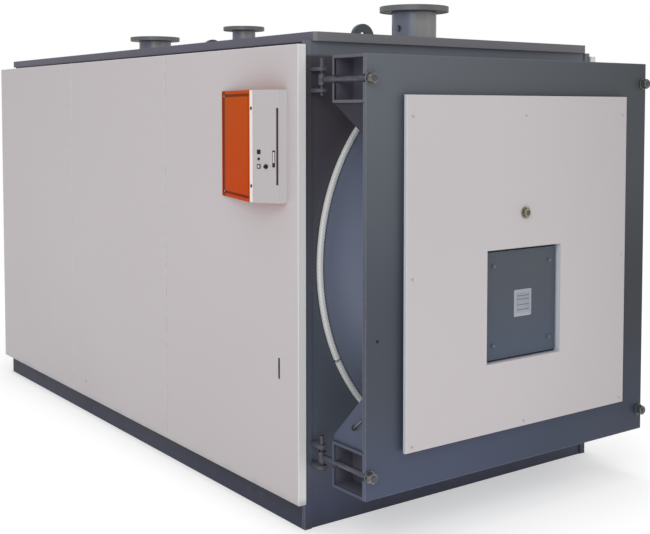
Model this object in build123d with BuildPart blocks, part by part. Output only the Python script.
"""Three-pass hot-water boiler on a steel base, with a bolted swing door and a sheet-metal casing.

Millimetres, +Z up. The origin is on the ground under the middle of the base, the door faces -Y.
"""
import os
from math import cos, radians, sin

from build123d import *

os.makedirs("parts", exist_ok=True)

# Oval pressure shell, which sets the boiler's width and height
shell_half_width = 850.0
shell_half_height = 920.0
shell_wall = 14.0
shell_base_clearance = 65.0
shell_side_clearance = 50.0
shell_deck_clearance = 43.0
shell_rear_inset = 95.0
tube_plate_thickness = 20.0

# Base frame, which sets its length
base_length = 3515.0
base_height = 150.0
channel_flange = 70.0
channel_wall = 10.0
saddle_inset = 150.0
saddle_thickness = 20.0

# Front plate with raised edges
front_plate_thickness = 12.0
edge_strip_width = 36.0
edge_strip_rise = 6.0
opening_margin = 20.0

# Casing panels
panel_thickness = 40.5
panel_base_overlap = 34.0
panel_count = 3
panel_gap = 3.0
panel_front_overhang = 15.0
panel_rear_overhang = 39.0
panel_edge_radius = 5.0
panel_flange_width = 90.0
panel_flange_thickness = 12.0

# Top deck
deck_side_inset = 39.5
deck_thickness = 39.0
deck_front_overhang = 23.0
deck_rear_overhang = 14.0
deck_corner_chamfer = 14.0
deck_rail_width = 35.0
deck_rail_height = 16.0
deck_hole_clearance = 6.0

# Flame tube, closed at its far end
flame_tube_row_gap = 216.0
flame_tube_wall = 14.0
flame_tube_rear_gap = 508.0
burner_drop = 189.0
weld_gap = 0.3

# Smoke tubes in two rows round the flame tube
smoke_tube_radius = 38.0
smoke_tube_wall = 4.0
smoke_tube_stickout = 6.0
outer_row_inset = 115.0
outer_row_count = 12
outer_row_start = -48.0
row_spacing = 135.0
inner_row_count = 9
inner_row_start = -30.0

# Rear casing and smoke box
rear_panel_thickness = 20.0
rear_panel_side_gap = 2.0
smoke_box_inset = 50.0
smoke_box_wall = 6.0
smoke_box_length = 330.0
smoke_box_gap = 3.0
flue_radius = 200.0
flue_wall = 4.0
flue_length = 150.0
flue_rise = 165.0

# Flanged nozzles on the top centre line
nozzle_rise = 175.0
nozzle_projection = 15.0
flange_weld_step = 5.0
supply_distance = 337.0
safety_spacing = 1176.0
return_rear_distance = 412.0
main_pipe_radius = 109.55
main_pipe_wall = 6.3
main_flange_radius = 170.0
main_flange_thickness = 26.0
main_bolt_circle = 295.0
main_bolt_count = 12
main_bolt_hole = 22.0
safety_pipe_radius = 69.85
safety_pipe_wall = 4.5
safety_flange_radius = 125.0
safety_flange_thickness = 22.0
safety_bolt_circle = 210.0
safety_bolt_count = 8
safety_bolt_hole = 18.0

# Lifting lugs
front_lug_distance = 751.0
rear_lug_spacing = 381.0
lug_radius = 69.0
lug_rise = 120.0
lug_hole_radius = 22.0
lug_hole_rise = 6.0
lug_thickness = 22.0

# Door
door_side_inset = 32.0
door_lower_inset = 15.0
door_upper_inset = 25.0
door_standoff = 384.0
door_thickness = 20.0
collar_seat = 20.0
collar_wall = 10.0
collar_gap = 6.0
refractory_depth = 230.0
refractory_gap = 0.3
throat_radius = 200.0
throat_flare = 60.0
rope_width = 27.0
rope_gap = 1.0

# Door cover, burner plate and sight glass
cover_side_margin = 182.0
cover_lower_margin = 169.0
cover_upper_margin = 162.0
cover_thickness = 36.0
cover_edge_radius = 5.0
cover_gap_depth = 18.0
cover_gap_inset = 22.0
cutout_width = 462.0
cutout_height = 496.0
cutout_rise = 6.0
burner_plate_width = 440.0
burner_plate_height = 472.0
burner_plate_thickness = 15.0
burner_bolt_spacing = 350.0
burner_bolt_hole = 13.0
sight_glass_rise = 408.0
sight_flange_radius = 26.0
sight_flange_thickness = 7.0
sight_nose_radius = 18.0
sight_nose_length = 16.0
sight_bore_radius = 12.0
sight_lens_thickness = 6.0
sight_lens_recess = 3.0
sight_lens_gap = 0.2

# Swing bolts, hinge lugs and pins
bolt_edge_distance = 20.0
pin_standoff = 60.0
pin_radius = 8.5
pin_head_radius = 11.5
pin_head_length = 39.0
pin_tail = 14.0
pin_clearance = 0.3
rod_radius = 13.0
barrel_radius = 17.0
barrel_height = 45.0
hinge_lug_spacing = 90.0
hinge_lug_thickness = 14.0
hinge_lug_radius = 22.0
washer_radius = 27.0
washer_thickness = 5.0
hinge_washer_gap = 0.2
swing_washer_gap = 0.9
nut_across_flats = 41.0
nut_height = 24.0
rod_end = 5.0
thread_gap = 0.2

# Door brackets round the swing bolts
bracket_height = 195.0
bracket_depth = 204.0
bracket_reach = 110.0
bracket_plate = 12.0
bolt_slot_width = 33.0
gusset_thickness = 12.0
gusset_inset = 10.0
upper_gusset_heights = (2.0, 135.0)
lower_gusset_heights = (24.0, 232.0)

# Control box on the left wall
box_top_margin = 190.0
box_height = 483.0
box_rear_distance = 607.0
box_ridge_distance = 193.0
box_front_distance = 65.0
box_ridge_depth = 108.0
box_front_depth = 40.0
fascia_thickness = 10.0
fascia_slot_width = 12.0
fascia_slot_height = 328.0
fascia_slot_inset = 5.0
groove_inset = 16.0
groove_width = 10.0
groove_depth = 6.0

# Places worked out from the sizes
front = -base_length / 2
rear = base_length / 2
base_width = 2 * (shell_half_width + shell_side_clearance)
wall = base_width / 2 + panel_thickness
casing_front = front - panel_front_overhang
casing_rear = rear + panel_rear_overhang
shell_axis_height = base_height + shell_base_clearance + shell_half_height
deck_front = front - deck_front_overhang
deck_rear = rear + deck_rear_overhang
deck_width = base_width - 2 * deck_side_inset
deck_bottom = shell_axis_height + shell_half_height + shell_deck_clearance
deck_top = deck_bottom + deck_thickness
panel_bottom = base_height - panel_base_overlap
panel_top = deck_bottom - deck_rail_height
outer_row_radius = shell_half_width - outer_row_inset
inner_row_radius = outer_row_radius - row_spacing
flame_tube_radius = inner_row_radius - flame_tube_row_gap
burner_axis_height = shell_axis_height - burner_drop
opening_inset = outer_row_inset - smoke_tube_radius - opening_margin
tube_plate_front = front + front_plate_thickness
shell_front = tube_plate_front + tube_plate_thickness
shell_rear = rear - shell_rear_inset
smoke_box_front = shell_rear + tube_plate_thickness
smoke_box_rear = smoke_box_front + smoke_box_length
flue_axis_height = shell_axis_height + flue_rise
nozzle_face_height = deck_top + nozzle_rise
nozzle_foot_height = shell_axis_height + shell_half_height - shell_wall - nozzle_projection
return_y = rear - return_rear_distance
safety_y = return_y - safety_spacing
door_face = front - door_standoff
door_back = door_face + door_thickness
door_width = base_width - 2 * door_side_inset
door_height = 2 * shell_half_height - door_lower_inset - door_upper_inset
door_bottom = shell_axis_height - shell_half_height + door_lower_inset
door_middle_height = door_bottom + door_height / 2
collar_inset = opening_inset - collar_seat
cover_face = door_face - cover_thickness
cover_width = door_width - 2 * cover_side_margin
cover_bottom = door_bottom + cover_lower_margin
cover_height = door_height - cover_lower_margin - cover_upper_margin
sight_glass_height = burner_axis_height + sight_glass_rise
box_bottom = panel_top - box_top_margin - box_height
bolt_x = door_width / 2 - bolt_edge_distance
pin_y = front - pin_standoff
bolt_heights = {
    "upper": door_bottom + door_height - bracket_height / 2,
    "lower": door_bottom + bracket_height / 2,
}
sides = {"left": -1, "right": 1}
low = (Align.CENTER, Align.CENTER, Align.MIN)


def front_view(y):
    """Upright plane at y: sketch x runs across, sketch y runs up, positive extrusion comes forward."""
    return Plane.XZ.offset(-y)


def forward(x, y, z):
    """Place whose local +Z points forward, along -Y."""
    return Location((x, y, z), (90, 0, 0))


def upward(x, y, z):
    """Place whose local +Z points up."""
    return Location((x, y, z))


def oval(inset):
    """Half width and half height of the shell's oval, drawn in by an inset."""
    return shell_half_width - inset, shell_half_height - inset


def save(builder, node):
    """Names the finished piece and writes it to its own file."""
    builder.part.label = node
    export_step(builder.part, f"parts/{node}.step")


# Base rails: channels along both sides, open to the inside
with BuildPart() as base_rails:
    for side in sides.values():
        with BuildSketch(front_view(tube_plate_front)):
            with Locations((side * (base_width - channel_flange) / 2, base_height / 2)):
                Rectangle(channel_flange, base_height)
            with Locations((side * ((base_width - channel_flange) / 2 - channel_wall), base_height / 2)):
                Rectangle(channel_flange, base_height - 2 * channel_wall, mode=Mode.SUBTRACT)
        extrude(amount=tube_plate_front - rear)
save(base_rails, "base_rails")

# Cross members at both ends and in the middle of the base
cross_length = base_width - 2 * channel_flange
cross_places = (tube_plate_front, -channel_flange / 2, shell_rear - channel_flange)
with BuildPart() as base_cross_members:
    for cross_y in cross_places:
        with BuildSketch(Plane.YZ.offset(-cross_length / 2)):
            with Locations((cross_y + channel_flange / 2, base_height / 2)):
                Rectangle(channel_flange, base_height)
                Rectangle(
                    channel_flange - 2 * channel_wall, base_height - 2 * channel_wall, mode=Mode.SUBTRACT
                )
        extrude(amount=cross_length)
save(base_cross_members, "base_cross_members")

# Saddles stand on the cross members and cradle the shell
saddle_half_width = shell_half_width - saddle_inset
with BuildPart() as shell_saddles:
    for cross_y in cross_places:
        with BuildSketch(front_view(cross_y + (channel_flange - saddle_thickness) / 2)):
            with Locations((0, base_height)):
                Rectangle(
                    2 * saddle_half_width, shell_axis_height - base_height, align=(Align.CENTER, Align.MIN)
                )
            with Locations((0, shell_axis_height)):
                Ellipse(*oval(0), mode=Mode.SUBTRACT)
        extrude(amount=-saddle_thickness)
save(shell_saddles, "shell_saddles")

# Front plate: stands on the ground, with raised edges and the oval way into the boiler
with BuildPart() as front_plate:
    with BuildSketch(front_view(front)):
        Rectangle(base_width, deck_bottom, align=(Align.CENTER, Align.MIN))
        with Locations((0, shell_axis_height)):
            Ellipse(*oval(opening_inset), mode=Mode.SUBTRACT)
    extrude(amount=-front_plate_thickness)
    with BuildSketch(front_view(front)):
        with Locations(*((s * (base_width - edge_strip_width) / 2, 0) for s in sides.values())):
            Rectangle(edge_strip_width, deck_bottom, align=(Align.CENTER, Align.MIN))
    extrude(amount=edge_strip_rise)
save(front_plate, "front_plate")

# Tube places, seen from the front, in two rows round the shell's axis
tube_places = []
for row_radius, row_count, row_start in (
    (outer_row_radius, outer_row_count, outer_row_start),
    (inner_row_radius, inner_row_count, inner_row_start),
):
    row_step = (180 - 2 * row_start) / (row_count - 1)
    for index in range(row_count):
        angle = radians(row_start + index * row_step)
        tube_places.append((row_radius * cos(angle), shell_axis_height + row_radius * sin(angle)))

# Tube plates close the shell and carry the tubes
tube_hole_radius = smoke_tube_radius + weld_gap
for node, plate_y in (("front_tube_plate", tube_plate_front), ("rear_tube_plate", shell_rear)):
    with BuildPart() as tube_plate:
        with BuildSketch(front_view(plate_y)):
            with Locations((0, shell_axis_height)):
                Ellipse(*oval(0))
            with Locations(*tube_places):
                Circle(tube_hole_radius, mode=Mode.SUBTRACT)
            if node == "front_tube_plate":
                with Locations((0, burner_axis_height)):
                    Circle(flame_tube_radius + weld_gap, mode=Mode.SUBTRACT)
        extrude(amount=-tube_plate_thickness)
    save(tube_plate, node)

# Shell, with a port for each nozzle's pipe
main_pipe = (main_pipe_radius, main_pipe_wall)
main_flange = (
    main_flange_radius, main_flange_thickness, main_bolt_circle, main_bolt_count, main_bolt_hole
)
safety_pipe = (safety_pipe_radius, safety_pipe_wall)
safety_flange = (
    safety_flange_radius, safety_flange_thickness, safety_bolt_circle, safety_bolt_count, safety_bolt_hole
)
nozzles = {
    "supply": (front + supply_distance, main_pipe, main_flange),
    "safety": (safety_y, safety_pipe, safety_flange),
    "return": (return_y, main_pipe, main_flange),
}
with BuildPart() as boiler_shell:
    with BuildSketch(front_view(shell_rear)):
        with Locations((0, shell_axis_height)):
            Ellipse(*oval(0))
            Ellipse(*oval(shell_wall), mode=Mode.SUBTRACT)
    extrude(amount=shell_rear - shell_front)
    for nozzle_y, (pipe_radius, _), _ in nozzles.values():
        with Locations(upward(0, nozzle_y, shell_axis_height)):
            Cylinder(pipe_radius + weld_gap, shell_half_height, align=low, mode=Mode.SUBTRACT)
save(boiler_shell, "boiler_shell")

# Flame tube: a barrel open to the front, closed by a flat plate at its far end
flame_tube_rear = shell_rear - flame_tube_rear_gap
flame_tube_length = flame_tube_rear - tube_plate_front
with BuildPart() as flame_tube:
    with Locations(forward(0, flame_tube_rear, burner_axis_height)):
        Cylinder(flame_tube_radius, flame_tube_length, align=low)
    with Locations(forward(0, flame_tube_rear - flame_tube_wall, burner_axis_height)):
        Cylinder(flame_tube_radius - flame_tube_wall, flame_tube_length, align=low, mode=Mode.SUBTRACT)
save(flame_tube, "flame_tube")

# Smoke tubes, from just in front of the front tube plate through to the rear one
smoke_tube_front = tube_plate_front - smoke_tube_stickout
with BuildPart() as smoke_tubes:
    with BuildSketch(front_view(smoke_tube_front)):
        with Locations(*tube_places):
            Circle(smoke_tube_radius)
            Circle(smoke_tube_radius - smoke_tube_wall, mode=Mode.SUBTRACT)
    extrude(amount=smoke_tube_front - smoke_box_front)
save(smoke_tubes, "smoke_tubes")

# Casing panels: insulated pans along both sides, each with an inward flange along its top
panel_length = (casing_rear - casing_front - (panel_count - 1) * panel_gap) / panel_count
panel_names = ("front", "middle", "rear")
for side_name, side in sides.items():
    for index, bay_name in enumerate(panel_names):
        bay_front = casing_front + index * (panel_length + panel_gap)
        flange_front = max(bay_front, tube_plate_front)
        with BuildPart() as casing_panel:
            with BuildSketch(front_view(bay_front)):
                with Locations((side * (wall - panel_thickness / 2), panel_bottom)):
                    Rectangle(
                        panel_thickness, panel_top - panel_bottom, align=(Align.CENTER, Align.MIN)
                    )
            extrude(amount=-panel_length)
            outer_face = casing_panel.faces().sort_by(Axis.X)[-1 if side > 0 else 0]
            fillet(outer_face.edges(), radius=panel_edge_radius)
            with BuildSketch(front_view(flange_front)):
                with Locations((side * (base_width - panel_flange_width) / 2, panel_top)):
                    Rectangle(
                        panel_flange_width, panel_flange_thickness, align=(Align.CENTER, Align.MAX)
                    )
            extrude(amount=flange_front - bay_front - panel_length)
        save(casing_panel, f"{side_name}_{bay_name}_panel")

# Deck rails lie on the panel flanges and carry the deck
rail_inner = base_width / 2 - panel_flange_width
with BuildPart() as deck_rails:
    with BuildSketch(front_view(tube_plate_front)):
        with Locations(*((s * (rail_inner + deck_rail_width / 2), panel_top) for s in sides.values())):
            Rectangle(deck_rail_width, deck_bottom - panel_top, align=(Align.CENTER, Align.MIN))
    extrude(amount=tube_plate_front - deck_rear)
save(deck_rails, "deck_rails")

# Top deck, cut out round the nozzles and lifting lugs
lug_places = (front + front_lug_distance, safety_y + rear_lug_spacing)
with BuildPart() as top_deck:
    with BuildSketch(Plane.XY.offset(deck_bottom)):
        with Locations((0, (deck_front + deck_rear) / 2)):
            Rectangle(deck_width, deck_rear - deck_front)
        for nozzle_y, (pipe_radius, _), _ in nozzles.values():
            with Locations((0, nozzle_y)):
                Circle(pipe_radius + deck_hole_clearance, mode=Mode.SUBTRACT)
        with Locations(*((0, lug_y) for lug_y in lug_places)):
            Rectangle(
                2 * (lug_radius + deck_hole_clearance),
                lug_thickness + 2 * deck_hole_clearance,
                mode=Mode.SUBTRACT,
            )
    extrude(amount=deck_thickness)
    front_edges = top_deck.edges().filter_by(Axis.Z).group_by(Axis.Y)[0]
    chamfer(front_edges, length=deck_corner_chamfer)
save(top_deck, "top_deck")

# Nozzles: a pipe through the shell, with a standard flange slipped on and welded
for nozzle, (nozzle_y, (pipe_radius, pipe_wall), flange) in nozzles.items():
    flange_radius, flange_thickness, bolt_circle, bolt_count, bolt_hole = flange
    with BuildPart() as nozzle_pipe:
        with BuildSketch(Plane.XY.offset(nozzle_foot_height)):
            with Locations((0, nozzle_y)):
                Circle(pipe_radius)
                Circle(pipe_radius - pipe_wall, mode=Mode.SUBTRACT)
        extrude(amount=nozzle_face_height - flange_weld_step - nozzle_foot_height)
    save(nozzle_pipe, f"{nozzle}_pipe")

    with BuildPart() as nozzle_flange:
        with BuildSketch(Plane.XY.offset(nozzle_face_height - flange_thickness)):
            with Locations((0, nozzle_y)):
                Circle(flange_radius)
                Circle(pipe_radius + weld_gap, mode=Mode.SUBTRACT)
                with PolarLocations(bolt_circle / 2, bolt_count, start_angle=180 / bolt_count):
                    Circle(bolt_hole / 2, mode=Mode.SUBTRACT)
        extrude(amount=flange_thickness)
    save(nozzle_flange, f"{nozzle}_flange")

# Lifting lugs: half-round eye plates standing on the shell
lug_centre = deck_top + lug_rise - lug_radius
with BuildPart() as lifting_lugs:
    for lug_y in lug_places:
        with BuildSketch(front_view(lug_y - lug_thickness / 2)):
            with Locations((0, lug_centre)):
                Circle(lug_radius)
                Rectangle(
                    2 * lug_radius, lug_centre - shell_axis_height, align=(Align.CENTER, Align.MAX)
                )
            with Locations((0, lug_centre + lug_hole_rise)):
                Circle(lug_hole_radius, mode=Mode.SUBTRACT)
        extrude(amount=-lug_thickness)
    with BuildSketch(front_view(shell_rear)):
        with Locations((0, shell_axis_height)):
            Ellipse(*oval(0))
    extrude(amount=shell_rear - shell_front, mode=Mode.SUBTRACT)
save(lifting_lugs, "lifting_lugs")

# Rear panel between the side panels, round the smoke box and up to the deck
rear_panel_half = base_width / 2 - rear_panel_side_gap
with BuildPart() as rear_panel:
    with BuildSketch(front_view(rear)):
        with Locations((0, panel_bottom)):
            Rectangle(
                2 * rear_panel_half,
                panel_top - panel_flange_thickness - panel_bottom,
                align=(Align.CENTER, Align.MIN),
            )
            Rectangle(
                2 * (rail_inner - rear_panel_side_gap),
                deck_bottom - panel_bottom,
                align=(Align.CENTER, Align.MIN),
            )
        with Locations((0, shell_axis_height)):
            Ellipse(*oval(smoke_box_inset - smoke_box_gap), mode=Mode.SUBTRACT)
    extrude(amount=-rear_panel_thickness)
save(rear_panel, "rear_panel")

# Smoke box: an oval drum on the rear tube plate with a closed end
with BuildPart() as smoke_box:
    with BuildSketch(front_view(smoke_box_rear)):
        with Locations((0, shell_axis_height)):
            Ellipse(*oval(smoke_box_inset))
    extrude(amount=smoke_box_length)
    with BuildSketch(front_view(smoke_box_rear - smoke_box_wall)):
        with Locations((0, shell_axis_height)):
            Ellipse(*oval(smoke_box_inset + smoke_box_wall))
    extrude(amount=smoke_box_length, mode=Mode.SUBTRACT)
    with Locations(forward(0, smoke_box_rear, flue_axis_height)):
        Cylinder(flue_radius + weld_gap, smoke_box_wall, align=low, mode=Mode.SUBTRACT)
save(smoke_box, "smoke_box")

# Flue collar through the end of the smoke box
with BuildPart() as flue_collar:
    with BuildSketch(front_view(smoke_box_rear - smoke_box_wall)):
        with Locations((0, flue_axis_height)):
            Circle(flue_radius)
            Circle(flue_radius - flue_wall, mode=Mode.SUBTRACT)
    extrude(amount=-flue_length)
save(flue_collar, "flue_collar")

# Hinge lugs: a pair of rounded plates above and below each swing bolt, notched over the raised edge
lug_offsets = (
    -(hinge_lug_spacing + hinge_lug_thickness) / 2,
    (hinge_lug_spacing - hinge_lug_thickness) / 2,
)
with BuildPart() as hinge_lugs:
    for side in sides.values():
        for bolt_z in bolt_heights.values():
            for offset_z in lug_offsets:
                with BuildSketch(Plane.XY.offset(bolt_z + offset_z)):
                    with Locations((side * bolt_x, pin_y)):
                        Rectangle(2 * hinge_lug_radius, pin_standoff, align=(Align.CENTER, Align.MIN))
                        Circle(hinge_lug_radius)
                        Circle(pin_radius + pin_clearance, mode=Mode.SUBTRACT)
                    with Locations((side * base_width / 2, front)):
                        Rectangle(
                            2 * edge_strip_width,
                            edge_strip_rise,
                            align=(Align.CENTER, Align.MAX),
                            mode=Mode.SUBTRACT,
                        )
                extrude(amount=hinge_lug_thickness)
save(hinge_lugs, "hinge_lugs")

# Hinge pins, with long heads that sit on the upper lugs
pin_seat = (hinge_lug_spacing + hinge_lug_thickness) / 2
with BuildPart() as hinge_pins:
    for side in sides.values():
        for bolt_z in bolt_heights.values():
            with Locations(upward(side * bolt_x, pin_y, bolt_z + pin_seat)):
                Cylinder(pin_head_radius, pin_head_length, align=low)
            with Locations(upward(side * bolt_x, pin_y, bolt_z - pin_seat - pin_tail)):
                Cylinder(pin_radius, 2 * pin_seat + pin_tail, align=low)
save(hinge_pins, "hinge_pins")

# Swing bolts with their nuts: a barrel on the pin and a long rod that runs out through the door
washer_gaps = {"left": hinge_washer_gap, "right": swing_washer_gap}
for side_name, side in sides.items():
    washer_back = door_face - washer_gaps[side_name]
    nut_back = washer_back - washer_thickness
    rod_tip = nut_back - nut_height - rod_end
    for level, bolt_z in bolt_heights.items():
        with BuildPart() as swing_bolt:
            with Locations(upward(side * bolt_x, pin_y, bolt_z)):
                Cylinder(barrel_radius, barrel_height)
            with Locations(forward(side * bolt_x, pin_y, bolt_z)):
                Cylinder(rod_radius, pin_y - rod_tip, align=low)
            with Locations(upward(side * bolt_x, pin_y, bolt_z)):
                Cylinder(pin_radius + pin_clearance, barrel_height, mode=Mode.SUBTRACT)
        save(swing_bolt, f"{level}_{side_name}_bolt")

        with BuildPart() as bolt_nut:
            with Locations(forward(side * bolt_x, washer_back, bolt_z)):
                Cylinder(washer_radius, washer_thickness, align=low)
            with BuildSketch(front_view(nut_back)):
                with Locations((side * bolt_x, bolt_z)):
                    RegularPolygon(nut_across_flats / 2, 6, major_radius=False)
            extrude(amount=nut_height)
            with Locations(forward(side * bolt_x, washer_back, bolt_z)):
                Cylinder(
                    rod_radius + thread_gap,
                    washer_thickness + nut_height,
                    align=low,
                    mode=Mode.SUBTRACT,
                )
        save(bolt_nut, f"{level}_{side_name}_nut")

# Door plate, with open slots for the swing bolts and the burner's way in
slot_radius = bolt_slot_width / 2
with BuildPart() as door_plate:
    with BuildSketch(front_view(door_back)):
        with Locations((0, door_middle_height)):
            Rectangle(door_width, door_height)
        with Locations((0, burner_axis_height)):
            Circle(throat_radius, mode=Mode.SUBTRACT)
        for side in sides.values():
            with Locations(*((side * bolt_x, bolt_z) for bolt_z in bolt_heights.values())):
                Circle(slot_radius, mode=Mode.SUBTRACT)
            with Locations(*((side * door_width / 2, bolt_z) for bolt_z in bolt_heights.values())):
                Rectangle(2 * bolt_edge_distance, bolt_slot_width, mode=Mode.SUBTRACT)
    extrude(amount=door_thickness)
save(door_plate, "door_plate")

# Brackets behind the door's corners: a box round each swing bolt, open to the side, with a sloped gusset
for side_name, side in sides.items():
    outer_x = side * door_width / 2
    with BuildPart() as door_brackets:
        for level, bolt_z in bolt_heights.items():
            toward_middle = -1 if level == "upper" else 1
            gusset_heights = upper_gusset_heights if level == "upper" else lower_gusset_heights
            gusset_z = bolt_z + toward_middle * bracket_height / 2
            bracket_rear = door_back + bracket_depth
            with BuildSketch(Plane.YZ.offset(outer_x)):
                with Locations((door_back, bolt_z)):
                    Rectangle(bracket_depth, bracket_height, align=(Align.MIN, Align.CENTER))
                    Rectangle(
                        bracket_depth - bracket_plate,
                        bracket_height - 2 * bracket_plate,
                        align=(Align.MIN, Align.CENTER),
                        mode=Mode.SUBTRACT,
                    )
            extrude(amount=-side * bracket_reach)
            with BuildSketch(Plane.YZ.offset(outer_x - side * (bracket_reach - bracket_plate))):
                with Locations((door_back, bolt_z)):
                    Rectangle(bracket_depth, bracket_height, align=(Align.MIN, Align.CENTER))
            extrude(amount=-side * bracket_plate)
            with BuildSketch(Plane.YZ.offset(outer_x - side * gusset_inset)):
                with BuildLine():
                    Polyline(
                        (door_back, gusset_z),
                        (bracket_rear, gusset_z),
                        (bracket_rear, gusset_z + toward_middle * gusset_heights[0]),
                        (door_back, gusset_z + toward_middle * gusset_heights[1]),
                        close=True,
                    )
                make_face()
            extrude(amount=-side * gusset_thickness)
            with BuildSketch(front_view(bracket_rear)):
                with Locations((side * bolt_x, bolt_z)):
                    Circle(slot_radius)
                with Locations((outer_x, bolt_z)):
                    Rectangle(2 * bolt_edge_distance, bolt_slot_width)
            extrude(amount=bracket_plate, mode=Mode.SUBTRACT)
    save(door_brackets, f"{side_name}_door_brackets")

# Door collar: the oval wall that reaches back to the boiler's front plate
collar_rear = front - collar_gap
with BuildPart() as door_collar:
    with BuildSketch(front_view(collar_rear)):
        with Locations((0, shell_axis_height)):
            Ellipse(*oval(collar_inset))
            Ellipse(*oval(collar_inset + collar_wall), mode=Mode.SUBTRACT)
    extrude(amount=collar_rear - door_back)
save(door_collar, "door_collar")

# Refractory lining inside the collar, with a flared burner throat
refractory_rear = door_back + refractory_depth
with BuildPart() as door_refractory:
    with BuildSketch(front_view(refractory_rear)):
        with Locations((0, shell_axis_height)):
            Ellipse(*oval(collar_inset + collar_wall + refractory_gap))
    extrude(amount=refractory_depth)
    with Locations(forward(0, refractory_rear, burner_axis_height)):
        Cone(throat_radius + throat_flare, throat_radius, refractory_depth, align=low, mode=Mode.SUBTRACT)
save(door_refractory, "door_refractory")

# Rope seal wound round the end of the collar, against the front plate
rope_rear = front - rope_gap
with BuildPart() as rope_seal:
    with BuildSketch(front_view(rope_rear)):
        with Locations((0, shell_axis_height)):
            Ellipse(*oval(collar_inset - rope_width))
            Ellipse(*oval(collar_inset - refractory_gap), mode=Mode.SUBTRACT)
    extrude(amount=rope_width)
save(rope_seal, "rope_seal")

# Door cover: an insulated pan that stands off the door on a narrower back, with a way to the burner plate
cutout_middle_height = burner_axis_height + cutout_rise
cover_middle_height = cover_bottom + cover_height / 2
with BuildPart() as door_cover:
    with BuildSketch(front_view(door_face)):
        with Locations((0, cover_middle_height)):
            Rectangle(cover_width - 2 * cover_gap_inset, cover_height - 2 * cover_gap_inset)
    extrude(amount=cover_gap_depth)
    with BuildSketch(front_view(door_face - cover_gap_depth)):
        with Locations((0, cover_middle_height)):
            Rectangle(cover_width, cover_height)
    extrude(amount=cover_thickness - cover_gap_depth)
    rim = door_cover.faces().sort_by(Axis.Y)[0].outer_wire().edges()
    fillet(rim, radius=cover_edge_radius)
    with BuildSketch(front_view(door_face)):
        with Locations((0, cutout_middle_height)):
            Rectangle(cutout_width, cutout_height)
    extrude(amount=cover_thickness, mode=Mode.SUBTRACT)
save(door_cover, "door_cover")

# Burner plate: a blank that closes the throat, bolted at its corners
with BuildPart() as burner_plate:
    with BuildSketch(front_view(door_face)):
        with Locations((0, cutout_middle_height)):
            Rectangle(burner_plate_width, burner_plate_height)
            with GridLocations(burner_bolt_spacing, burner_bolt_spacing, 2, 2):
                Circle(burner_bolt_hole / 2, mode=Mode.SUBTRACT)
    extrude(amount=burner_plate_thickness)
save(burner_plate, "burner_plate")

# Sight glass: a turned fitting on the cover with a round window in its nose
with BuildPart() as sight_glass_fitting:
    with Locations(forward(0, cover_face, sight_glass_height)):
        Cylinder(sight_flange_radius, sight_flange_thickness, align=low)
        Cylinder(sight_nose_radius, sight_nose_length, align=low)
    with Locations(forward(0, cover_face - sight_lens_thickness, sight_glass_height)):
        Cylinder(sight_bore_radius, sight_nose_length, align=low, mode=Mode.SUBTRACT)
save(sight_glass_fitting, "sight_glass_fitting")

with BuildPart() as sight_glass_lens:
    with Locations(forward(0, cover_face - sight_lens_thickness, sight_glass_height)):
        Cylinder(
            sight_bore_radius - sight_lens_gap,
            sight_nose_length - sight_lens_thickness - sight_lens_recess,
            align=low,
        )
save(sight_glass_lens, "sight_glass_lens")

# Control box: a wedge on the left wall, grooved along its long face, with a folded fascia at its front
ridge = Vector(-wall - box_ridge_depth, front + box_ridge_distance)
nose = Vector(-wall - box_front_depth, front + box_front_distance)
box_heel = Vector(-wall, front + box_rear_distance)
fascia_run = (nose - ridge).normalized()
fascia_normal = fascia_run.rotate(Axis.Z, -90)
rebate_ridge = ridge - fascia_normal * fascia_thickness
rebate_y = nose.Y + fascia_thickness
rebate_nose = rebate_ridge + fascia_run * ((rebate_y - rebate_ridge.Y) / fascia_run.Y)
box_middle = Vector(0, 0, box_bottom + box_height / 2)
long_run = (ridge - box_heel).normalized()
long_length = (ridge - box_heel).length
long_face = Plane((box_heel + ridge) / 2 + box_middle, x_dir=long_run, z_dir=long_run.rotate(Axis.Z, -90))
with BuildPart() as control_box:
    with BuildSketch(Plane.XY.offset(box_bottom)):
        with BuildLine():
            Polyline(box_heel, ridge, rebate_ridge, rebate_nose, (-wall, rebate_y), close=True)
        make_face()
    extrude(amount=box_height)
    with BuildSketch(long_face):
        Rectangle(long_length - 2 * groove_inset, box_height - 2 * groove_inset)
        Rectangle(
            long_length - 2 * (groove_inset + groove_width),
            box_height - 2 * (groove_inset + groove_width),
            mode=Mode.SUBTRACT,
        )
    extrude(amount=-groove_depth, mode=Mode.SUBTRACT)
save(control_box, "control_box")

slot_middle = nose - fascia_run * (fascia_slot_inset + fascia_slot_width / 2) + box_middle
with BuildPart() as control_fascia:
    with BuildSketch(Plane.XY.offset(box_bottom)):
        with BuildLine():
            Polyline(
                ridge, nose, (-wall, nose.Y), (-wall, rebate_y), rebate_nose, rebate_ridge, close=True
            )
        make_face()
    extrude(amount=box_height)
    with BuildSketch(Plane(slot_middle, x_dir=fascia_run, z_dir=fascia_normal)):
        Rectangle(fascia_slot_width, fascia_slot_height)
    extrude(amount=-fascia_thickness, mode=Mode.SUBTRACT)
save(control_fascia, "control_fascia")
